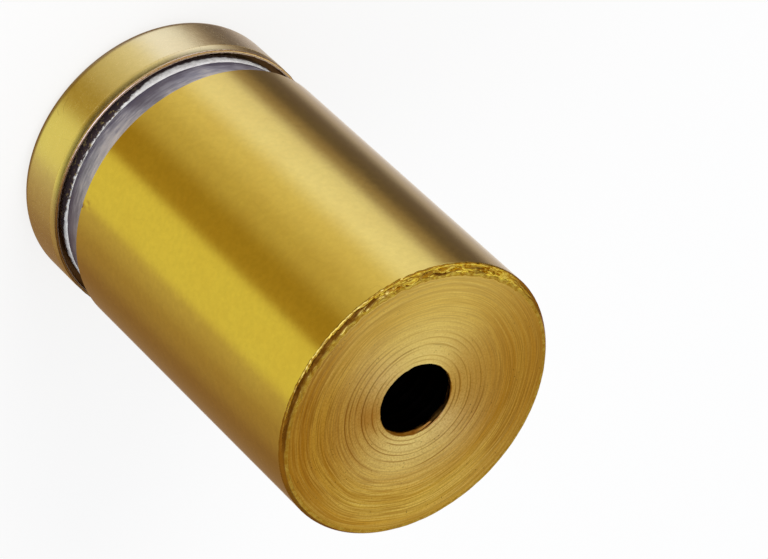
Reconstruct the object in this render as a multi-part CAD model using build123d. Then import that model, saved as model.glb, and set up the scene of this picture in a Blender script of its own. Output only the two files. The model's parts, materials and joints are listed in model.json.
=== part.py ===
from build123d import *

import os

# A round brass standoff for holding a glass or acrylic panel off a wall. It stands on its cap:
# the cap's outer face is at Z = 0 and the end that is fixed to the wall is at the top.
# All sizes are in millimetres, and everything is turned about the Z axis.

# Driving dimensions
BODY_R = 9.5
CAP_HEIGHT = 4.5
CLAMP_GAP = 2.55
BARREL_LENGTH = 24.5

# Cap
CAP_EDGE_ROUND = 1.0
LIP_ROUND = 0.12
RECESS_R = 9.3
RECESS_DEPTH = 0.75
STUD_SEAT_DEPTH = 2.7

# Washers
WASHER_R = 8.9
WASHER_BORE_R = 3.2
WASHER_EDGE = 0.08
CAP_WASHER_PROUD = 0.35

# M6 thread, modelled plain at the tapping radius
TAPPED_R = 2.5
THREAD_CLEARANCE = 0.05
THREAD_ENGAGEMENT = 8.0
STUD_END_CHAMFER = 0.45
DRILL_POINT_SLOPE = 0.6

# Barrel
WALL_EDGE_CHAMFER = 0.2
FRONT_EDGE_CHAMFER = 0.1
HOLE_MOUTH_CHAMFER = 0.1
WALL_HOLE_DEPTH = 10.0
FRONT_HOLE_DEPTH = 9.0

# Heights worked out from the driving dimensions
RECESS_FLOOR_Z = CAP_HEIGHT - RECESS_DEPTH
WASHERS_MEET_Z = CAP_HEIGHT + CAP_WASHER_PROUD
BARREL_FRONT_Z = CAP_HEIGHT + CLAMP_GAP
BARREL_WALL_Z = BARREL_FRONT_Z + BARREL_LENGTH
STUD_LOW_Z = RECESS_FLOOR_Z - STUD_SEAT_DEPTH
STUD_TOP_Z = BARREL_FRONT_Z + THREAD_ENGAGEMENT
STUD_R = TAPPED_R - THREAD_CLEARANCE


def turned(points):
    """A solid turned about Z from a closed outline of (radius, height) points."""
    outline = Polyline([(radius, 0, height) for radius, height in points], close=True)
    return revolve(make_face(outline), Axis.Z)


def drilled_hole(mouth_z, depth, into):
    """A blind tapped hole from mouth_z, with a drill point; into is +1 upwards or -1 downwards."""
    mouth = TAPPED_R + HOLE_MOUTH_CHAMFER
    return turned([
        (0, mouth_z),
        (mouth, mouth_z),
        (TAPPED_R, mouth_z + into * HOLE_MOUTH_CHAMFER),
        (TAPPED_R, mouth_z + into * depth),
        (0, mouth_z + into * (depth + TAPPED_R * DRILL_POINT_SLOPE)),
    ])


def washer(low_z, high_z):
    """A flat plastic ring with broken outer edges."""
    return turned([
        (WASHER_BORE_R, low_z),
        (WASHER_R - WASHER_EDGE, low_z),
        (WASHER_R, low_z + WASHER_EDGE),
        (WASHER_R, high_z - WASHER_EDGE),
        (WASHER_R - WASHER_EDGE, high_z),
        (WASHER_BORE_R, high_z),
    ])


def make_cap():
    """The disc that clamps the panel: a rounded outer edge, and a thin lip round a shallow recess."""
    disc = Pos(0, 0, CAP_HEIGHT / 2) * Cylinder(BODY_R, CAP_HEIGHT)
    outer_edges = disc.edges().filter_by(GeomType.CIRCLE).sort_by(Axis.Z)
    disc = fillet(outer_edges[0], CAP_EDGE_ROUND)
    lip_edge = disc.edges().filter_by(GeomType.CIRCLE).sort_by(Axis.Z)[-1]
    disc = fillet(lip_edge, LIP_ROUND)
    recess = Pos(0, 0, RECESS_FLOOR_Z + RECESS_DEPTH / 2) * Cylinder(RECESS_R, RECESS_DEPTH)
    seat = Pos(0, 0, STUD_LOW_Z + STUD_SEAT_DEPTH / 2) * Cylinder(TAPPED_R, STUD_SEAT_DEPTH)
    return disc - recess - seat


def make_stud():
    """The threaded stud that stands in the cap and draws it onto the barrel."""
    tip = STUD_R - STUD_END_CHAMFER
    return turned([
        (0, STUD_LOW_Z),
        (tip, STUD_LOW_Z),
        (STUD_R, STUD_LOW_Z + STUD_END_CHAMFER),
        (STUD_R, STUD_TOP_Z - STUD_END_CHAMFER),
        (tip, STUD_TOP_Z),
        (0, STUD_TOP_Z),
    ])


def make_barrel():
    """The long brass body, with a blind tapped hole in each end."""
    body = turned([
        (0, BARREL_FRONT_Z),
        (BODY_R - FRONT_EDGE_CHAMFER, BARREL_FRONT_Z),
        (BODY_R, BARREL_FRONT_Z + FRONT_EDGE_CHAMFER),
        (BODY_R, BARREL_WALL_Z - WALL_EDGE_CHAMFER),
        (BODY_R - WALL_EDGE_CHAMFER, BARREL_WALL_Z),
        (0, BARREL_WALL_Z),
    ])
    wall_hole = drilled_hole(BARREL_WALL_Z, WALL_HOLE_DEPTH, -1)
    front_hole = drilled_hole(BARREL_FRONT_Z, FRONT_HOLE_DEPTH, 1)
    return body - wall_hole - front_hole


def main():
    os.makedirs("parts", exist_ok=True)
    nodes = {
        "cap": make_cap(),
        "stud": make_stud(),
        "cap_washer": washer(RECESS_FLOOR_Z, WASHERS_MEET_Z),
        "barrel_washer": washer(WASHERS_MEET_Z, BARREL_FRONT_Z),
        "barrel": make_barrel(),
    }
    for name, solid in nodes.items():
        export_step(solid, f"parts/{name}.step")


main()
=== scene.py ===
import json
import math

import bpy
from mathutils import Matrix, Vector, noise


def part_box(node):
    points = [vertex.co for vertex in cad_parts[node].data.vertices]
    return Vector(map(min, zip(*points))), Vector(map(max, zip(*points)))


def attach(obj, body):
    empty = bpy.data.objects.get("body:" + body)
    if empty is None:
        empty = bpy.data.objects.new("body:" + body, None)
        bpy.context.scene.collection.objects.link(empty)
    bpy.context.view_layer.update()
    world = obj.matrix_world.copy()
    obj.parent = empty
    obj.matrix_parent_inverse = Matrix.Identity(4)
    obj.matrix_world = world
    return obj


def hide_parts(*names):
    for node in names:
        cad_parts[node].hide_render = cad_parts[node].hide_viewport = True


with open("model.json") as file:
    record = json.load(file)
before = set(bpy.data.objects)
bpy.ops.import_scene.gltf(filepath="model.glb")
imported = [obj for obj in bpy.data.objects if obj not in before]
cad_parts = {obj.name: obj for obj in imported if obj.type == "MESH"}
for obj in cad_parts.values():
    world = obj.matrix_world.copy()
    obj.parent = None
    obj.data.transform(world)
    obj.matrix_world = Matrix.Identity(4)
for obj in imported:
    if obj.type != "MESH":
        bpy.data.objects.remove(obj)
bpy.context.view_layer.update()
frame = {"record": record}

MM = 0.001
FULL_TURN = 2 * math.pi

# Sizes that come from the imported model, in metres
CAP_LOW, CAP_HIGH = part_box("cap")
CAP_WASHER_LOW, CAP_WASHER_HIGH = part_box("cap_washer")
WASHER_LOW, WASHER_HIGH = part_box("barrel_washer")
BARREL_LOW, BARREL_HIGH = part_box("barrel")
STUD_LOW, STUD_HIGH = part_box("stud")
WALL_THREAD = next(m for m in frame["record"]["mounts"] if m["name"] == "wall_thread")
BODY_R = BARREL_HIGH.x
WASHER_R = WASHER_HIGH.x
HOLE_R = WALL_THREAD["dims"]["r_mm"] * MM
WALL_HOLE_DEPTH = WALL_THREAD["dims"]["length_mm"] * MM
WASHER_BORE_R = 3.2 * MM
RECESS_R = 9.26 * MM

# M6 thread, cut in the tapped holes and on the stud
PITCH = 1.0 * MM
THREAD_DEPTH = 0.5 * MM
THREAD_GAP = 0.06 * MM
THREAD_ROWS = 12
THREAD_COLUMNS = 120
LEAD_IN = 0.25 * MM
FIRST_TURN_DEPTH = 0.33 * MM
FIRST_TURN_ANGLE = math.radians(106)
FRONT_HOLE_DEPTH = 9.0 * MM
DRILL_POINT_SLOPE = 0.6

# Wall end of the barrel: a flat turned face inside a torn, burred rim
RIM_COLUMNS = 720
FACE_DROP = 0.16 * MM
FACE_Z = BARREL_HIGH.z - FACE_DROP
CRESCENT_MIDDLE = math.radians(-112)
CREASE_MIDDLE = math.radians(-62)
CRESCENT_WIDTH = 0.85 * MM
PLAIN_RIM_WIDTH = 0.2 * MM
BURR_ROWS = 14

# Angles round Z: where the clear washer's stretch of painted shade lies, where washer and lip get
# painted shade, and where the face gets a painted highlight
SHADED_STRETCH_ANGLE = math.radians(-72)
SHADED_SIDE_ANGLE = math.radians(-8)
LIT_SIDE_ANGLE = math.radians(-150)

# The brown stain beside the wall hole, in millimetres
STAIN_MIDDLE = (2.6, -2.3, 0)

# Rings the lathe tool left on that face: coarse ones near the hole, shallow ones near the rim
TOOL_COLUMNS = 360
TOOL_FIRST_R = 2.75 * MM
TOOL_SPACING = 0.37 * MM
TOOL_RINGS = 9
TOOL_DEPTH = 0.032 * MM
RIM_RINGS_FROM = 7.2 * MM
RIM_RING_DEPTH = 0.016 * MM
TOOL_RINGS_END = 6.6 * MM

# Camera: its view direction's elevation, how far the frame is rolled, and the point it looks at
CAMERA_ELEVATION = math.radians(43.1)
CAMERA_ROLL = math.radians(132.68)
CAMERA_DISTANCE = 0.301
CAMERA_LENS = 228.3
CAMERA_AIM = Vector((-4.0, 3.5, 19.5)) * MM


# ---------------------------------------------------------------- turned meshes


def ring(count, radius, height):
    """Points round Z. radius and height are numbers, or functions of the angle."""
    points = []
    for i in range(count):
        angle = FULL_TURN * i / count
        r = radius(angle) if callable(radius) else radius
        z = height(angle) if callable(height) else height
        points.append((r * math.cos(angle), r * math.sin(angle), z))
    return points


def band_faces(low, low_count, high, high_count):
    """Faces between two rings of points. One count is a whole multiple of the other, or is 1."""
    faces = []
    if low_count == high_count:
        for i in range(low_count):
            j = (i + 1) % low_count
            faces.append((low + i, low + j, high + j, high + i))
        return faces
    if high_count < low_count:
        step = low_count // high_count
        for i in range(high_count):
            for k in range(step):
                a = step * i + k
                faces.append((low + a, low + (a + 1) % low_count, high + i))
            if high_count > 1:
                end = step * (i + 1) % low_count
                faces.append((low + end, high + (i + 1) % high_count, high + i))
        return faces
    flipped = band_faces(high, high_count, low, low_count)
    return [tuple(reversed(face)) for face in flipped]


def skin(name, bands, materials, looped=False, sharp_angle=40):
    """A closed mesh through rings in order. bands is a list of (ring, material index)."""
    points, starts, faces, indices = [], [], [], []
    for points_of_ring, _ in bands:
        starts.append(len(points))
        points.extend(points_of_ring)
    pairs = list(zip(range(len(bands) - 1), range(1, len(bands))))
    if looped:
        pairs.append((len(bands) - 1, 0))
    for low, high in pairs:
        made = band_faces(starts[low], len(bands[low][0]), starts[high], len(bands[high][0]))
        faces.extend(made)
        indices.extend([bands[high][1]] * len(made))
    mesh = bpy.data.meshes.new(name)
    mesh.from_pydata(points, [], faces)
    mesh.polygons.foreach_set("material_index", indices)
    mesh.polygons.foreach_set("use_smooth", [True] * len(faces))
    mesh.update()
    for material in materials:
        mesh.materials.append(material)
    mesh.set_sharp_from_angle(angle=math.radians(sharp_angle))
    piece = bpy.data.objects.new(name, mesh)
    bpy.context.scene.collection.objects.link(piece)
    return piece


def smoothstep(value, low, high):
    t = min(1.0, max(0.0, (value - low) / (high - low)))
    return t * t * (3 - 2 * t)


def arc(centre_r, centre_z, radius, start, end, steps):
    """(radius, height) points on an arc of the profile, angles in degrees from straight out."""
    points = []
    for i in range(steps + 1):
        angle = math.radians(start + (end - start) * i / steps)
        points.append((centre_r + radius * math.cos(angle), centre_z + radius * math.sin(angle)))
    return points


# ---------------------------------------------------------------- threads


def thread_groove(angle, height, origin):
    """How far into the groove a point is: 0 on the inner flat and 1 on the outer one."""
    turn = ((height - origin) / PITCH - angle / FULL_TURN) % 1.0
    away = abs(turn - 0.5) * 2
    return 1 - min(1.0, max(0.0, (away - 0.125) / 0.625))


def threaded_rings(count, low, high, inner_r, origin, fade_low, fade_high, rising=True):
    """Rings over a threaded stretch, whose groove fades out over the given lengths at its ends."""
    step = PITCH / THREAD_ROWS
    rows = round((high - low) / step)
    heights = [low + (high - low) * i / rows for i in range(rows + 1)]
    if not rising:
        heights.reverse()
    rings = []
    for z in heights:
        share = 1.0
        if fade_low:
            share *= smoothstep(z, low, low + fade_low)
        if fade_high:
            share *= 1 - smoothstep(z, high - fade_high, high)
        depth = THREAD_DEPTH * share
        rings.append(ring(count, lambda a: inner_r + depth * thread_groove(a, z, origin), z))
    return rings


# ---------------------------------------------------------------- shader helpers


def add(tree, kind, inputs=None, **settings):
    """A node with its settings and its inputs, which are values or other nodes' sockets."""
    made = tree.nodes.new(kind)
    for key, value in settings.items():
        setattr(made, key, value)
    for key, value in (inputs or {}).items():
        if isinstance(value, bpy.types.NodeSocket):
            tree.links.new(value, made.inputs[key])
        else:
            made.inputs[key].default_value = value
    return made


def math_node(tree, operation, *values):
    return add(tree, "ShaderNodeMath", dict(enumerate(values)), operation=operation).outputs[0]


def mix_colour(tree, factor, a, b):
    made = add(tree, "ShaderNodeMix", data_type="RGBA")
    for key, value in ((0, factor), (6, a), (7, b)):
        if isinstance(value, bpy.types.NodeSocket):
            tree.links.new(value, made.inputs[key])
        else:
            made.inputs[key].default_value = value
    return made.outputs[2]


def two_tone(tree, value, low, high, a, b):
    """Colour a where the value is low, running to colour b where it is high."""
    return mix_colour(tree, remap(tree, value, low, high, 0, 1), a, b)


def remap(tree, value, from_low, from_high, to_low, to_high):
    inputs = {0: value, 1: from_low, 2: from_high, 3: to_low, 4: to_high}
    return add(tree, "ShaderNodeMapRange", inputs).outputs[0]


def position_mm(tree):
    """The surface's own position, in millimetres."""
    place = add(tree, "ShaderNodeTexCoord").outputs["Object"]
    scaled = add(tree, "ShaderNodeVectorMath", {0: place, "Scale": 1 / MM}, operation="SCALE")
    return scaled.outputs[0]


def noise_of(tree, vector, scale, detail=3.0, roughness=0.55):
    inputs = {"Vector": vector, "Scale": scale, "Detail": detail, "Roughness": roughness}
    return add(tree, "ShaderNodeTexNoise", inputs).outputs["Fac"]


def stretched(tree, vector, scales):
    return add(tree, "ShaderNodeVectorMath", {0: vector, 1: scales}, operation="MULTIPLY").outputs[0]


def axis_distance(tree, vector):
    """Distance from the Z axis, in millimetres."""
    flat = stretched(tree, vector, (1, 1, 0))
    return add(tree, "ShaderNodeVectorMath", {0: flat}, operation="LENGTH").outputs["Value"]


def towards(tree, vector, angle):
    """Cosine of how far round Z a point is from an angle."""
    flat = stretched(tree, vector, (1, 1, 0))
    around = add(tree, "ShaderNodeVectorMath", {0: flat}, operation="NORMALIZE").outputs[0]
    inputs = {0: around, 1: (math.cos(angle), math.sin(angle), 0)}
    return add(tree, "ShaderNodeVectorMath", inputs, operation="DOT_PRODUCT").outputs["Value"]


def swing(tree, value, size):
    """A noise moved to swing about 0, by half of size either way."""
    return math_node(tree, "MULTIPLY", math_node(tree, "SUBTRACT", value, 0.5), size)


def bump(tree, height, depth_mm, under=None):
    inputs = {"Strength": 1.0, "Distance": depth_mm * MM, "Height": height}
    if under is not None:
        inputs["Normal"] = under
    return add(tree, "ShaderNodeBump", inputs).outputs[0]


def new_material(name):
    material = bpy.data.materials.new(name)
    material.use_nodes = True
    material.node_tree.nodes.clear()
    return material, material.node_tree


def close_material(tree, inputs):
    shader = add(tree, "ShaderNodeBsdfPrincipled", inputs)
    add(tree, "ShaderNodeOutputMaterial", {"Surface": shader.outputs[0]})


def shade(colour, factor):
    """An opaque colour, darkened or lightened by a factor."""
    return (*(c * factor for c in colour), 1.0)


def opaque(red, green, blue):
    return (red, green, blue, 1.0)


# ---------------------------------------------------------------- materials

BRASS = (0.74, 0.54, 0.13)
PALE_BRASS = (0.86, 0.71, 0.39)
# The lip's pale pinkish brass is a painted highlight
LIP_BRASS_HIGHLIGHT = (0.90, 0.70, 0.52)
# The recess's near black-brown brass is painted shade
RECESS_BRASS_SHADE = (0.16, 0.09, 0.05)


def satin_brass(name, colour, dull, polish, scratched=0.3, side_shade=0.0):
    """Satin brass: mottled, with a fine grain, hair lines and a few scratches.

    dull and polish are its roughest and smoothest roughness. scratched and the last argument run from 0
    to 1; the last darkens one side round Z as painted shade.
    """
    material, tree = new_material(name)
    place = position_mm(tree)
    cloud = noise_of(tree, place, 0.22, 3)
    mottle = noise_of(tree, place, 2.6, 3, 0.6)
    grain = noise_of(tree, place, 14.0, 2)
    lines = noise_of(tree, stretched(tree, place, (2.0, 2.0, 16.0)), 1.0, 3)
    tone = two_tone(tree, mottle, 0.35, 0.7, shade(colour, 0.95), shade(colour, 1.04))
    worn_colour = (colour[0] * 0.92, colour[1] * 0.83, colour[2] * 0.75)
    tone = mix_colour(tree, remap(tree, cloud, 0.45, 0.75, 0, 0.35), tone, shade(worn_colour, 1))
    drawn = noise_of(tree, stretched(tree, place, (0.9, 0.5, 0.35)), 1.0, 0)
    off_line = math_node(tree, "ABSOLUTE", math_node(tree, "SUBTRACT", drawn, 0.5))
    where = remap(tree, noise_of(tree, place, 0.6, 2), 0.56, 0.66, 0, scratched)
    scratch = math_node(tree, "MULTIPLY", remap(tree, off_line, 0.0015, 0.006, 1, 0), where)
    tone = mix_colour(tree, scratch, tone, opaque(0.16, 0.09, 0.03))
    # Painted shade: when asked for, one side round Z is darkened brown
    if side_shade:
        shaded_side = remap(tree, towards(tree, place, SHADED_SIDE_ANGLE), 0.2, 0.9, 0, side_shade)
        tone = mix_colour(tree, shaded_side, tone, opaque(0.20, 0.11, 0.05))
    uneven = math_node(tree, "ADD", mottle, math_node(tree, "MULTIPLY", grain, 0.5))
    rough = remap(tree, uneven, 0.45, 1.0, polish, dull)
    normal = bump(tree, lines, 0.0011)
    normal = bump(tree, grain, 0.0006, normal)
    close_material(tree, {"Base Color": tone, "Metallic": 1.0, "Roughness": rough, "Normal": normal})
    return material


def ring_place(tree, place, sway):
    """A position whose first part is the distance from the axis and changes little round a ring."""
    radius = math_node(tree, "ADD", axis_distance(tree, place), sway)
    flat = stretched(tree, place, (1, 1, 0))
    around = add(tree, "ShaderNodeVectorMath", {0: flat}, operation="NORMALIZE").outputs[0]
    parts = add(tree, "ShaderNodeSeparateXYZ", {0: around})
    inputs = {0: radius, 1: parts.outputs[0], 2: parts.outputs[1]}
    return add(tree, "ShaderNodeCombineXYZ", inputs).outputs[0]


def turned_brass(name):
    """The faced end: rings left by the lathe tool, darker where they are deep."""
    material, tree = new_material(name)
    place = position_mm(tree)
    radius = axis_distance(tree, place)
    height = add(tree, "ShaderNodeSeparateXYZ", {0: place}).outputs[2]
    sway = math_node(tree, "MULTIPLY", noise_of(tree, place, 0.16, 1), 0.45)
    rings = ring_place(tree, place, sway)
    broad = noise_of(tree, stretched(tree, rings, (1.1, 0.5, 0.5)), 1.0, 3, 0.6)
    lines = noise_of(tree, stretched(tree, rings, (8.0, 1.3, 1.3)), 1.0, 3, 0.7)
    fine = noise_of(tree, stretched(tree, rings, (15.0, 2.0, 2.0)), 1.0, 2, 0.7)
    specks = add(tree, "ShaderNodeTexVoronoi", {"Vector": place, "Scale": 2.9}).outputs["Distance"]
    speck_field = remap(tree, noise_of(tree, place, 1.1, 2), 0.47, 0.62, 0, 0.75)
    speck = math_node(tree, "MULTIPLY", remap(tree, specks, 0.08, 0.17, 1, 0), speck_field)
    grain = noise_of(tree, place, 8.0, 3)

    tone = two_tone(tree, broad, 0.35, 0.65, opaque(0.66, 0.38, 0.05), opaque(0.82, 0.59, 0.14))
    bright = remap(tree, lines, 0.44, 0.62, 0, 0.65)
    tone = mix_colour(tree, bright, tone, opaque(0.90, 0.70, 0.24))
    scored = remap(tree, fine, 0.38, 0.55, 0.75, 0)
    tone = mix_colour(tree, scored, tone, opaque(0.42, 0.21, 0.025))
    face_z = FACE_Z / MM
    depth = TOOL_DEPTH / MM
    # The faced end is paler towards the hole
    paler_near_hole = remap(tree, radius, HOLE_R / MM + 0.8, HOLE_R / MM + 4.2, 0.78, 0)
    tone = mix_colour(tree, paler_near_hole, tone, opaque(0.95, 0.79, 0.43))
    deep = remap(tree, height, face_z - 0.5 * depth, face_z - 0.04 * depth, 0.72, 0)
    tone = mix_colour(tree, deep, tone, opaque(0.36, 0.17, 0.03))
    flat = stretched(tree, place, (1, 1, 0))
    stain_inputs = {0: flat, 1: STAIN_MIDDLE}
    from_stain = add(tree, "ShaderNodeVectorMath", stain_inputs, operation="DISTANCE")
    uneven = math_node(tree, "MULTIPLY", noise_of(tree, place, 0.9, 4), 2.0)
    ragged = math_node(tree, "ADD", from_stain.outputs["Value"], uneven)
    stain = remap(tree, ragged, 1.1, 2.7, 0.5, 0)
    tone = mix_colour(tree, stain, tone, opaque(0.56, 0.26, 0.04))
    dulled = remap(tree, grain, 0.32, 0.58, 0.42, 0)
    tone = mix_colour(tree, dulled, tone, opaque(0.46, 0.23, 0.035))
    tone = mix_colour(tree, speck, tone, opaque(0.20, 0.09, 0.02))
    # Painted highlight: the faced end is made paler towards one side round Z
    lit_side = remap(tree, towards(tree, place, LIT_SIDE_ANGLE), -0.1, 1.0, 0, 0.42)
    tone = mix_colour(tree, lit_side, tone, opaque(0.92, 0.72, 0.27))
    edge = remap(tree, radius, BODY_R / MM - 0.9, BODY_R / MM - 0.2, 0, 0.35)
    tone = mix_colour(tree, edge, tone, opaque(0.50, 0.30, 0.05))
    rough = remap(tree, grain, 0.3, 0.7, 0.32, 0.44)
    normal = bump(tree, lines, 0.007)
    normal = bump(tree, fine, 0.0035, normal)
    normal = bump(tree, grain, 0.002, normal)
    tangent = add(tree, "ShaderNodeTangent", direction_type="RADIAL", axis="Z").outputs[0]
    close_material(tree, {
        "Base Color": tone,
        "Metallic": 1.0,
        "Roughness": rough,
        "Anisotropic": 0.8,
        "Anisotropic Rotation": 0.25,
        "Tangent": tangent,
        "Normal": normal,
    })
    return material


def torn_brass(name):
    """The burr: bright torn folds along the rim, stained brown and dull where they are deep."""
    material, tree = new_material(name)
    place = position_mm(tree)
    height = add(tree, "ShaderNodeSeparateXYZ", {0: place}).outputs[2]
    rings = ring_place(tree, place, math_node(tree, "MULTIPLY", noise_of(tree, place, 0.9, 2), 0.5))
    streak = noise_of(tree, stretched(tree, rings, (6.0, 6.0, 6.0)), 1.0, 2, 0.6)
    fleck = noise_of(tree, place, 3.0, 1)
    gold = two_tone(tree, fleck, 0.3, 0.7, opaque(0.74, 0.50, 0.07), opaque(0.86, 0.66, 0.16))
    low = remap(tree, height, FACE_Z / MM - 0.05, FACE_Z / MM + 0.04, 0.95, 0)
    crack = remap(tree, streak, 0.36, 0.48, 0.6, 0)
    stain = math_node(tree, "MAXIMUM", low, crack)
    radius = axis_distance(tree, place)
    out_low, out_high = BODY_R / MM - 0.36, BODY_R / MM - 0.16
    crease_brown, rim_brown = opaque(0.13, 0.04, 0.001), opaque(0.26, 0.10, 0.006)
    brown = two_tone(tree, radius, out_low, out_high, crease_brown, rim_brown)
    tone = mix_colour(tree, stain, gold, brown)
    normal = bump(tree, streak, 0.02)
    close_material(tree, {
        "Base Color": tone,
        "Metallic": remap(tree, stain, 0.2, 0.95, 1, 0.5),
        "Roughness": remap(tree, fleck, 0.3, 0.7, 0.16, 0.32),
        "Specular IOR Level": 0.05,
        "Specular Tint": opaque(0.40, 0.20, 0.05),
        "Normal": normal,
    })
    return material


def shaded_hole_brass(name):
    """Inside the tapped hole: dirty brown thread by the mouth, painted near black deeper in as shade.
    """
    material, tree = new_material(name)
    place = position_mm(tree)
    height = add(tree, "ShaderNodeSeparateXYZ", {0: place}).outputs[2]
    # Painted shade: near black from about 0.3 mm below the face inwards
    deep = remap(tree, height, FACE_Z / MM - 0.62, FACE_Z / MM - 0.3, 1, 0)
    dirt = noise_of(tree, place, 2.2, 3)
    tone = two_tone(tree, dirt, 0.35, 0.65, opaque(0.34, 0.15, 0.03), opaque(0.58, 0.33, 0.07))
    tone = mix_colour(tree, deep, tone, opaque(0.0006, 0.0004, 0.0003))
    close_material(tree, {
        "Base Color": tone,
        "Metallic": 1.0,
        "Roughness": remap(tree, dirt, 0.3, 0.7, 0.3, 0.5),
        # The dark specular tint dims the thread's reflections, as painted shade too
        "Specular Tint": opaque(0.06, 0.04, 0.02),
    })
    return material


def grey_plastic(name):
    """Dull grey soft plastic: bluish and dark by the cap, and scuffed pale next to the barrel."""
    material, tree = new_material(name)
    place = position_mm(tree)
    height = add(tree, "ShaderNodeSeparateXYZ", {0: place}).outputs[2]
    scuff = noise_of(tree, stretched(tree, place, (0.8, 0.8, 5.0)), 1.0, 4, 0.6)
    patch = noise_of(tree, stretched(tree, place, (1.0, 1.0, 0.3)), 0.28, 2)
    low, high = WASHER_LOW.z / MM, WASHER_HIGH.z / MM
    rise = remap(tree, height, low, high, 0, 1)
    level = math_node(tree, "ADD", rise, swing(tree, scuff, 1.4))
    level = math_node(tree, "ADD", level, swing(tree, patch, 2.0))
    tone = two_tone(tree, level, 0.0, 0.55, opaque(0.09, 0.077, 0.11), opaque(0.24, 0.225, 0.26))
    tone = two_tone(tree, level, 0.45, 1.05, tone, opaque(0.52, 0.46, 0.43))
    joint = remap(tree, height, high - 0.12, high, 0, 0.8)
    tone = mix_colour(tree, joint, tone, opaque(0.08, 0.05, 0.06))
    # Painted shade: one side round Z is darkened almost black
    wide, narrow = math.cos(math.radians(60)), math.cos(math.radians(20))
    shaded_side = remap(tree, towards(tree, place, SHADED_SIDE_ANGLE), wide, narrow, 0, 0.72)
    tone = mix_colour(tree, shaded_side, tone, opaque(0.085, 0.055, 0.065))
    rough = remap(tree, scuff, 0.3, 0.7, 0.3, 0.48)
    normal = bump(tree, scuff, 0.02)
    close_material(tree, {"Base Color": tone, "Roughness": rough, "Normal": normal})
    return material


def clear_plastic(name):
    """Clear plastic with a white ragged cut edge, painted dark as shade below its top and over one
    stretch round Z.
    """
    material, tree = new_material(name)
    place = position_mm(tree)
    height = add(tree, "ShaderNodeSeparateXYZ", {0: place}).outputs[2]
    # Painted shade: over one stretch round Z the white edge is kept to the very top
    facing = towards(tree, place, SHADED_STRETCH_ANGLE)
    clear = remap(tree, facing, math.cos(math.radians(40)), math.cos(math.radians(20)), 0, 1)
    cut = noise_of(tree, stretched(tree, place, (1.0, 1.0, 1.6)), 2.6, 4, 0.7)
    brass_glint = noise_of(tree, place, 3.7, 3, 0.6)
    level = remap(tree, height, CAP_HIGH.z / MM - 0.35, CAP_WASHER_HIGH.z / MM, 0, 1)
    spread = remap(tree, clear, 0, 1, 0.35, 1.1)
    uneven = swing(tree, cut, spread)
    edge = remap(tree, clear, 0, 1, 0.16, 0.8)
    above = math_node(tree, "SUBTRACT", math_node(tree, "ADD", level, uneven), edge)
    milk = two_tone(tree, cut, 0.35, 0.65, opaque(0.70, 0.68, 0.68), opaque(0.97, 0.97, 0.96))
    # Painted shade: below a ragged level the washer is painted near black, as in the cap's recess
    tone = two_tone(tree, above, -0.06, 0.14, opaque(0.06, 0.042, 0.046), milk)
    # Painted glints: gold spots in the dark stretch stand for brass shining through the plastic
    fleck = math_node(tree, "MULTIPLY", remap(tree, brass_glint, 0.58, 0.68, 0, 0.55), clear)
    tone = mix_colour(tree, fleck, tone, opaque(0.55, 0.42, 0.16))
    normal = bump(tree, cut, 0.03)
    close_material(tree, {
        "Base Color": tone,
        "Roughness": remap(tree, cut, 0.3, 0.7, 0.12, 0.35),
        "Normal": normal,
        "Coat Weight": 0.3,
    })
    return material


def plated_steel(name):
    """Zinc-plated steel, slightly blue-grey, with dirt in the thread."""
    material, tree = new_material(name)
    place = position_mm(tree)
    blotch = noise_of(tree, place, 0.9, 4, 0.6)
    tone = two_tone(tree, blotch, 0.35, 0.7, opaque(0.42, 0.43, 0.45), opaque(0.62, 0.62, 0.61))
    radius = axis_distance(tree, place)
    root = remap(tree, radius, HOLE_R / MM - 0.05, HOLE_R / MM + 0.2, 0.55, 0)
    tone = mix_colour(tree, root, tone, opaque(0.12, 0.11, 0.1))
    rough = remap(tree, blotch, 0.3, 0.7, 0.22, 0.4)
    normal = bump(tree, noise_of(tree, place, 7.0, 3), 0.003)
    close_material(tree, {"Base Color": tone, "Metallic": 1.0, "Roughness": rough, "Normal": normal})
    return material


# ---------------------------------------------------------------- barrel


def crescent(angle):
    """1 at the middle of the torn part of the rim, falling to 0 where the rim is plain."""
    lean = math.cos(angle - CRESCENT_MIDDLE)
    return smoothstep(lean, -0.12, 1.0)


def wobble(angle, scale, seed):
    """Smooth seeded unevenness round the rim, from -1 to 1."""
    return noise.noise(Vector((math.cos(angle) * scale, math.sin(angle) * scale, seed)))


def rim_inner(angle):
    """Radius at which the flat face ends."""
    torn = crescent(angle)
    ragged = 0.14 * MM * wobble(angle, 9, 3.1) + 0.09 * MM * wobble(angle, 31, 7.7)
    width = PLAIN_RIM_WIDTH + (CRESCENT_WIDTH - PLAIN_RIM_WIDTH) * torn
    return BODY_R - width - ragged * (0.12 + 0.88 * torn)


def rim_outer(angle):
    """Radius of the rim's highest edge."""
    torn = crescent(angle)
    ragged = 0.05 * wobble(angle, 16, 1.3) + 0.05 * wobble(angle, 55, 2.9)
    return BODY_R - 0.025 * MM - torn * (0.055 + 0.8 * ragged) * MM


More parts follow.
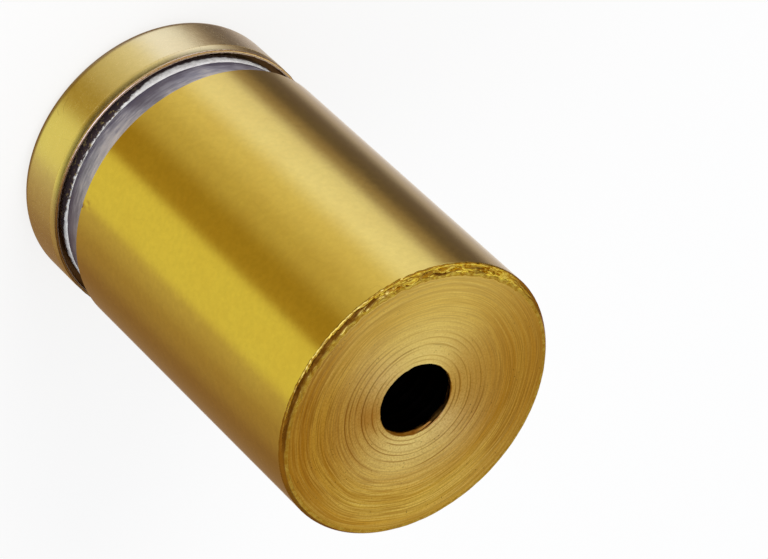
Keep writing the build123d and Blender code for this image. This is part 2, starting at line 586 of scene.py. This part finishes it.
def burr_height(angle, across):
    """Height of the rim above the face. across is 0 at the face's edge and 1 at the rim's."""
    torn = crescent(angle)
    along = Vector((math.cos(angle), math.sin(angle), 0))
    drift = 0.5 * noise.noise(along * 6 + Vector((0, 0, 8.1)))
    streak = noise.noise(along * 5 + Vector((0, 0, 3.0 * (across + drift))))
    fold = noise.noise(Vector((3.9 * across + 8.0 * angle + 3 * drift, 2.7 * angle, 3.3)))
    grit = noise.noise(along * 60 + Vector((0, 0, 8 * across)))
    crumple = (0.09 * (1 - 4 * abs(streak)) + 0.15 * fold + 0.006 * grit) * MM
    crumple *= math.sin(math.pi * min(1.0, 0.1 + across * 0.9))
    left = smoothstep(math.cos(angle - CREASE_MIDDLE), 0.6, 0.85)
    crease = -(0.01 + 0.18 * left) * MM * math.sin(math.pi * min(1.0, across * 1.15)) ** 2
    rise = (0.14 + 0.06 * wobble(angle, 38, 6.1)) * MM * smoothstep(across, 0.65, 1.0)
    swell = 0.1 * (1 - left) * MM * math.sin(math.pi * across)
    height = -0.22 * MM * across * (1 - torn) + (crease + rise + crumple + swell) * torn
    return min(height, FACE_DROP)


def tool_marks(material):
    """The faced end from the hole outwards: each tool mark is a groove with a raised side."""
    bands = []
    for k in range(TOOL_RINGS):
        fade = 1 - smoothstep(k, 4.5, TOOL_RINGS + 1.5)
        weight = fade * (0.75 + 0.25 * math.sin(2.4 * k))
        strength = lambda a: min(1.0, max(0.0, 0.6 + 1.2 * wobble(a, 1.8, 5.0 + 2.3 * k)))
        depth = lambda a: TOOL_DEPTH * weight * strength(a)
        shift = 0.22 * math.sin(3.7 * k + 0.6) if k else 0.0
        for share, level in ((0.0, 0.0), (0.24, -1.0), (0.46, 0.35), (0.72, 0.05)):
            at = TOOL_FIRST_R + (k + shift + share) * TOOL_SPACING
            radius = lambda a: at + 0.1 * MM * wobble(a, 1.1, 0.25 * k) * min(1.0, k / 3)
            height = lambda a: FACE_Z + level * depth(a)
            bands.append((ring(TOOL_COLUMNS, radius, height), material))
    return bands


def rim_marks(material):
    """Shallow ridges between the tool rings and the rim, strongest on the torn side."""
    bands = []
    steps = 14
    for i in range(steps):
        share = i / steps
        radius = lambda a: RIM_RINGS_FROM * (1 - share) + (rim_inner(a) - 0.06 * MM) * share
        phase = FULL_TURN * share * 3.5
        depth = RIM_RING_DEPTH * smoothstep(share, 0, 0.3)
        wave = lambda a: math.sin(phase + 1.2 * wobble(a, 1.3, 4.4))
        height = lambda a: FACE_Z + depth * wave(a) * (0.35 + 0.65 * crescent(a))
        bands.append((ring(RIM_COLUMNS, radius, height), material))
    return bands


def dents(angle, height):
    """Depth of the small knocks in the barrel's front edge."""
    depth = 0.0
    for at_degrees, up, size in ((-56.0, 0.1, 0.22), (-58.5, 0.5, 0.2), (-57.0, 0.8, 0.14)):
        along = (angle - math.radians(at_degrees) + math.pi) % FULL_TURN - math.pi
        away = math.hypot(along * BODY_R / MM, (height - BARREL_LOW.z) / MM - up)
        depth += 0.1 * size * (1 - smoothstep(away, 0, size))
    return depth * MM


def blind_hole(mouth_z, depth, into, origin, material):
    """Bands of a tapped hole from its drill point out to its mouth. into is +1 up, -1 down."""
    end = mouth_z + into * depth
    point = end + into * HOLE_R * DRILL_POINT_SLOPE
    bands = [(ring(1, 0, point), material), (ring(THREAD_COLUMNS, HOLE_R, end), material)]
    low, high = sorted((mouth_z, end))
    fades = (0, LEAD_IN) if into < 0 else (LEAD_IN, 0)
    rings = threaded_rings(THREAD_COLUMNS, low, high, HOLE_R, origin, *fades, rising=into < 0)
    bands += [(made, material) for made in rings[1:]]
    return bands


def burr_bands(torn, side):
    """The rim from the face's edge, up over the burr and down to the barrel's side."""
    bands = [(ring(RIM_COLUMNS, rim_inner, FACE_Z), torn)]
    for i in range(1, BURR_ROWS + 1):
        across = i / BURR_ROWS
        radius = lambda a: rim_inner(a) * (1 - across) + rim_outer(a) * across
        bands.append((ring(RIM_COLUMNS, radius, lambda a: FACE_Z + burr_height(a, across)), torn))
    for reach, drop, material in ((0.6, 0.04, torn), (1.0, 0.09, torn), (1.0, 0.14, side)):
        radius = lambda a: rim_outer(a) * (1 - reach) + BODY_R * reach
        under = lambda a: FACE_Z + burr_height(a, 1) - drop * (1.0 + 0.5 * wobble(a, 30, 5.5)) * MM
        bands.append((ring(RIM_COLUMNS, radius, under), material))
    return bands


def make_barrel():
    """The long brass body, from the wall hole's drill point round to the front hole's."""
    side, face, torn, hole = 0, 1, 2, 3
    wall_origin = FACE_Z - FIRST_TURN_DEPTH - PITCH * FIRST_TURN_ANGLE / FULL_TURN
    bands = blind_hole(FACE_Z - 0.05 * MM, WALL_HOLE_DEPTH, -1, wall_origin, hole)
    mouth = lambda a: HOLE_R + (0.02 + 0.04 * wobble(a, 5, 9.4) + 0.03 * wobble(a, 17, 2.2)) * MM
    bands.append((ring(THREAD_COLUMNS, mouth, FACE_Z - 0.02 * MM), hole))
    bands.append((ring(THREAD_COLUMNS, lambda a: mouth(a) + 0.04 * MM, FACE_Z), face))
    bands.append((ring(TOOL_COLUMNS, TOOL_FIRST_R - 0.06 * MM, FACE_Z), face))
    bands += tool_marks(face)
    bands.append((ring(TOOL_COLUMNS, TOOL_RINGS_END, FACE_Z), face))
    bands += rim_marks(face)
    bands += burr_bands(torn, side)
    for drop in (0.6, 1.2):
        bands.append((ring(RIM_COLUMNS, BODY_R, BARREL_HIGH.z - drop * MM), side))
    for drop in (3, 6, 10, 14, 18, 21):
        bands.append((ring(TOOL_COLUMNS, BODY_R, BARREL_HIGH.z - drop * MM), side))
    for up in (2.2, 1.6, 1.2, 1.05, 0.9, 0.75, 0.6, 0.45, 0.3, 0.18, 0.08):
        z = BARREL_LOW.z + up * MM
        bands.append((ring(RIM_COLUMNS, lambda a: BODY_R - dents(a, z), z), side))
    edge = lambda a: BODY_R - 0.08 * MM - dents(a, BARREL_LOW.z)
    bands.append((ring(RIM_COLUMNS, edge, BARREL_LOW.z), side))
    bands.append((ring(THREAD_COLUMNS, BODY_R - 1.0 * MM, BARREL_LOW.z), face))
    bands.append((ring(THREAD_COLUMNS, HOLE_R + 0.1 * MM, BARREL_LOW.z), face))
    front = blind_hole(BARREL_LOW.z, FRONT_HOLE_DEPTH, 1, BARREL_LOW.z, hole)
    front.reverse()
    bands += front
    piece = skin("barrel_turned", bands, [
        satin_brass("barrel_satin_brass", BRASS, 0.17, 0.14, 0.12),
        turned_brass("barrel_turned_face"),
        torn_brass("barrel_torn_burr"),
        shaded_hole_brass("barrel_thread_painted_shade"),
    ])
    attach(piece, "barrel")
    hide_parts("barrel")
    return piece


# ---------------------------------------------------------------- cap, stud and washers


# The cap's outside narrows towards its lip: distance below the lip and inwards, in millimetres
LIP_TAPER = ((0.75, 0.006), (0.65, 0.026), (0.55, 0.056), (0.45, 0.088), (0.37, 0.117), (0.3, 0.146))


def make_cap():
    """The cap: flat outer face, rounded edge, and a thin lip, painted pale as a highlight, round a
    recess painted dark as shade.
    """
    satin, lip, cut = 0, 1, 2
    columns = 360
    round_r = 1.0 * MM
    bead_r = 0.11 * MM
    bands = [(ring(1, 0, CAP_LOW.z), satin)]
    for radius in (3, 6, 7.8):
        bands.append((ring(columns, radius * MM, CAP_LOW.z), satin))
    for r, z in arc(BODY_R - round_r, CAP_LOW.z + round_r, round_r, -90, 0, 14):
        bands.append((ring(columns, r, z), satin))
    for up in (1.6, 2.4, 3.2, 3.75):
        bands.append((ring(columns, BODY_R, CAP_LOW.z + up * MM), satin))
    for down, inward in LIP_TAPER:
        bands.append((ring(columns, BODY_R - inward * MM, CAP_HIGH.z - down * MM), satin))
    for r, z in arc(RECESS_R + bead_r, CAP_HIGH.z - bead_r, bead_r, -30, 180, 12):
        rough_r = lambda a: min(BODY_R, r + 0.022 * MM * wobble(a, 45, z / MM * 3))
        bands.append((ring(columns * 2, rough_r, z), lip))
    bands.append((ring(columns, RECESS_R, CAP_WASHER_LOW.z), cut))
    bands.append((ring(columns, HOLE_R, CAP_WASHER_LOW.z), cut))
    bands.append((ring(columns, HOLE_R, STUD_LOW.z), cut))
    bands.append((ring(1, 0, STUD_LOW.z), cut))
    piece = skin("cap_turned", bands, [
        satin_brass("cap_satin_brass", PALE_BRASS, 0.28, 0.21, 0.35),
        # The lip's pale colour is a painted highlight, and its last argument paints shade over one side
        satin_brass("cap_lip_brass", LIP_BRASS_HIGHLIGHT, 0.34, 0.22, 0.3, 0.85),
        satin_brass("cap_recess_brass", RECESS_BRASS_SHADE, 0.45, 0.35),
    ])
    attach(piece, "cap")
    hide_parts("cap")
    return piece


def make_stud():
    """The M6 stud: plain in the cap's seat, then threaded in step with the barrel's front hole."""
    root_r = HOLE_R - THREAD_GAP
    chamfer = 0.5 * MM
    tip_r = root_r - 0.35 * MM
    low, high = STUD_LOW.z, STUD_HIGH.z
    bands = [(ring(1, 0, low), 0), (ring(THREAD_COLUMNS, tip_r, low), 0)]
    threaded_low = CAP_WASHER_LOW.z
    bands.append((ring(THREAD_COLUMNS, root_r - 0.05 * MM, low + chamfer), 0))
    bands.append((ring(THREAD_COLUMNS, root_r - 0.05 * MM, threaded_low), 0))
    for made in threaded_rings(
        THREAD_COLUMNS, threaded_low, high - chamfer, root_r, BARREL_LOW.z, 0.5 * MM, 0.4 * MM
    ):
        bands.append((made, 0))
    bands.append((ring(THREAD_COLUMNS, tip_r, high), 0))
    bands.append((ring(1, 0, high), 0))
    piece = skin("stud_threaded", bands, [plated_steel("stud_plated_steel")])
    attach(piece, "cap")
    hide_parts("stud")
    return piece


def make_washer(name, low, high, uneven, edge, seed, material):
    """A punched plastic ring, whose outer side is a little uneven and bulges slightly."""
    columns = 360
    inner = [(ring(columns, WASHER_BORE_R, high), 0), (ring(columns, WASHER_BORE_R, low), 0)]
    rows = 10
    outer = [(ring(columns, WASHER_R - edge - 1.0 * MM, low), 0)]
    for i in range(rows + 1):
        share = i / rows
        corner = edge * (abs(2 * share - 1) ** 4)
        z = low + (high - low) * share

        def radius(angle):
            bumpy = 0.5 + 0.5 * wobble(angle, 22, seed + share) + 0.25 * wobble(angle, 60, seed - share)
            return WASHER_R - corner - uneven * min(1.0, max(0.0, bumpy))

        outer.append((ring(columns, radius, z), 0))
    outer.append((ring(columns, WASHER_R - edge - 1.0 * MM, high), 0))
    return skin(name, inner + outer, [material], looped=True, sharp_angle=50)


def make_washers():
    clear = make_washer(
        "cap_washer_clear", CAP_WASHER_LOW.z, CAP_WASHER_HIGH.z, 0.09 * MM, 0.06 * MM, 2.5,
        clear_plastic("clear_washer_plastic"),
    )
    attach(clear, "cap")
    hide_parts("cap_washer")
    grey = make_washer(
        "barrel_washer_grey", WASHER_LOW.z, WASHER_HIGH.z, 0.03 * MM, 0.05 * MM, 6.5,
        grey_plastic("grey_washer_plastic"),
    )
    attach(grey, "washer")
    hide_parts("barrel_washer")


# ---------------------------------------------------------------- camera, floor and light


def make_camera():
    data = bpy.data.cameras.new("camera")
    data.lens = CAMERA_LENS
    data.sensor_width = 36
    data.clip_start = 0.01
    camera = bpy.data.objects.new("camera", data)
    bpy.context.scene.collection.objects.link(camera)
    ahead = Vector((0, math.cos(CAMERA_ELEVATION), -math.sin(CAMERA_ELEVATION)))
    level = Vector((1, 0, 0))
    upright = level.cross(ahead)
    right = level * math.cos(CAMERA_ROLL) + upright * math.sin(CAMERA_ROLL)
    up = right.cross(ahead)
    camera.matrix_world = Matrix.Translation(CAMERA_AIM - ahead * CAMERA_DISTANCE) @ Matrix(
        (right, up, -ahead)
    ).transposed().to_4x4()
    bpy.context.scene.camera = camera


def make_floor():
    """A wide plain floor. Metal doesn't mirror it: it mirrors the studio's cards instead."""
    bpy.ops.mesh.primitive_plane_add(size=6, location=(0, 0, 0))
    floor = bpy.context.object
    floor.name = "floor"
    floor.visible_glossy = False
    material, tree = new_material("floor_paper")
    paper = add(tree, "ShaderNodeBsdfDiffuse", {"Color": (0.92, 0.92, 0.92, 1)})
    glow = add(tree, "ShaderNodeEmission", {"Color": (1, 1, 1, 1), "Strength": 1.0})
    seen = add(tree, "ShaderNodeLightPath").outputs["Is Camera Ray"]
    lift = math_node(tree, "MULTIPLY", seen, 0.75)
    mixed = add(tree, "ShaderNodeMixShader", {0: lift, 1: paper.outputs[0], 2: glow.outputs[0]})
    add(tree, "ShaderNodeOutputMaterial", {"Surface": mixed.outputs[0]})
    floor.data.materials.append(material)


# The studio's cards, as they stand round the object: compass share from +Y towards +X, and colour
LOW_CARDS = (
    (0.000, (1.00, 0.96, 0.96)),
    (0.018, (0.95, 0.88, 0.84)),
    (0.045, (0.31, 0.20, 0.12)),
    (0.150, (0.29, 0.18, 0.09)),
    (0.230, (0.42, 0.31, 0.15)),
    (0.300, (0.58, 0.50, 0.26)),
    (0.332, (0.84, 0.83, 0.32)),
    (0.428, (0.85, 0.84, 0.32)),
    (0.455, (0.44, 0.32, 0.06)),
    (0.500, (0.42, 0.31, 0.06)),
    (0.560, (0.64, 0.57, 0.28)),
    (0.630, (0.84, 0.80, 0.55)),
    (0.690, (1.06, 1.14, 1.40)),
    (0.735, (0.98, 1.04, 1.20)),
    (0.785, (0.34, 0.27, 0.22)),
    (0.820, (0.14, 0.11, 0.10)),
    (0.860, (0.15, 0.12, 0.12)),
    (0.920, (0.55, 0.50, 0.52)),
    (1.000, (1.00, 0.96, 0.96)),
)


# Cards above the horizon: direction, angles in degrees from it of their full and faded edges, and
# colour. HIGH_BASE is what lies between them, and BENEATH is straight down
HIGH_BASE = (0.45, 0.30, 0.085, 1)
BENEATH = (0.15, 0.08, 0.03, 1)
HIGH_CARDS = (
    ((0.30, 0.90, 0.28), 8, 26, (1.12, 1.22, 0.95)),
    ((-0.32, 0.42, 0.85), 8, 26, (1.12, 1.22, 0.95)),
    ((0.10, -0.73, 0.68), 14, 36, (1.50, 1.65, 2.30)),
)


def soft_card(tree, direction, centre, inner, outer):
    """1 within the inner angle of the card's centre, and 0 beyond the outer one."""
    inputs = {0: direction, 1: tuple(Vector(centre).normalized())}
    along = add(tree, "ShaderNodeVectorMath", inputs, operation="DOT_PRODUCT").outputs["Value"]
    edge, full = math.cos(math.radians(outer)), math.cos(math.radians(inner))
    return remap(tree, along, edge, full, 0, 1)


def make_world():
    """Studio surroundings: even light for matt surfaces, and cards for metal to mirror."""
    world = bpy.data.worlds.new("studio")
    bpy.context.scene.world = world
    world.use_nodes = True
    world.cycles.sampling_method = "NONE"
    tree = world.node_tree
    tree.nodes.clear()
    direction = add(tree, "ShaderNodeTexCoord").outputs["Generated"]
    parts = add(tree, "ShaderNodeSeparateXYZ", {0: direction})
    compass = math_node(tree, "ARCTAN2", parts.outputs[0], parts.outputs[1])
    turns = math_node(tree, "ADD", math_node(tree, "DIVIDE", compass, FULL_TURN), 1.0)
    share = math_node(tree, "FRACT", turns)
    ramp = add(tree, "ShaderNodeValToRGB", {0: share})
    elements = ramp.color_ramp.elements
    ramp.color_ramp.interpolation = "EASE"
    while len(elements) > 1:
        elements.remove(elements[-1])
    elements[0].position = LOW_CARDS[0][0]
    elements[0].color = (*LOW_CARDS[0][1], 1)
    for place, colour in LOW_CARDS[1:]:
        elements.new(place).color = (*colour, 1)
    height = parts.outputs[2]
    lower = remap(tree, height, -0.32, -0.16, 0, 0.85)
    cards = mix_colour(tree, lower, ramp.outputs[0], (0, 0, 0, 1))
    beneath = remap(tree, height, -0.9, -0.77, 0.8, 0)
    cards = mix_colour(tree, beneath, cards, BENEATH)
    above = HIGH_BASE
    for centre, inner, outer, colour in HIGH_CARDS:
        card = soft_card(tree, direction, centre, inner, outer)
        above = mix_colour(tree, card, above, (*colour, 1))
    cards = two_tone(tree, height, 0.06, 0.2, cards, above)
    mirrored = add(tree, "ShaderNodeBackground", {"Color": cards, "Strength": 1.0})
    plain = add(tree, "ShaderNodeBackground", {"Color": (0.97, 0.98, 1.0, 1), "Strength": 0.8})
    backdrop = add(tree, "ShaderNodeBackground", {"Color": (1, 1, 1, 1), "Strength": 0.99})
    path = add(tree, "ShaderNodeLightPath")
    lighting = {0: path.outputs["Is Glossy Ray"], 1: plain.outputs[0], 2: mirrored.outputs[0]}
    light = add(tree, "ShaderNodeMixShader", lighting)
    whole = {0: path.outputs["Is Camera Ray"], 1: light.outputs[0], 2: backdrop.outputs[0]}
    seen = add(tree, "ShaderNodeMixShader", whole)
    add(tree, "ShaderNodeOutputWorld", {"Surface": seen.outputs[0]})


def make_lamp(name, place, size, watts, colour):
    data = bpy.data.lights.new(name, "AREA")
    data.shape = "DISK"
    data.size = size
    data.energy = watts
    data.color = colour
    lamp = bpy.data.objects.new(name, data)
    bpy.context.scene.collection.objects.link(lamp)
    place = Vector(place)
    lamp.location = place
    lamp.rotation_mode = "QUATERNION"
    lamp.rotation_quaternion = (Vector((0, 0, 0.015)) - place).to_track_quat("-Z", "Y")
    lamp.visible_glossy = False


bpy.context.scene.view_settings.view_transform = "Standard"
make_camera()
make_barrel()
make_cap()
make_stud()
make_washers()
make_floor()
make_world()
make_lamp("key", (-0.35, -0.30, 0.45), 0.35, 1.2, (1.0, 0.98, 0.95))
make_lamp("fill", (0.40, -0.25, 0.40), 0.45, 0.7, (0.96, 0.98, 1.0))
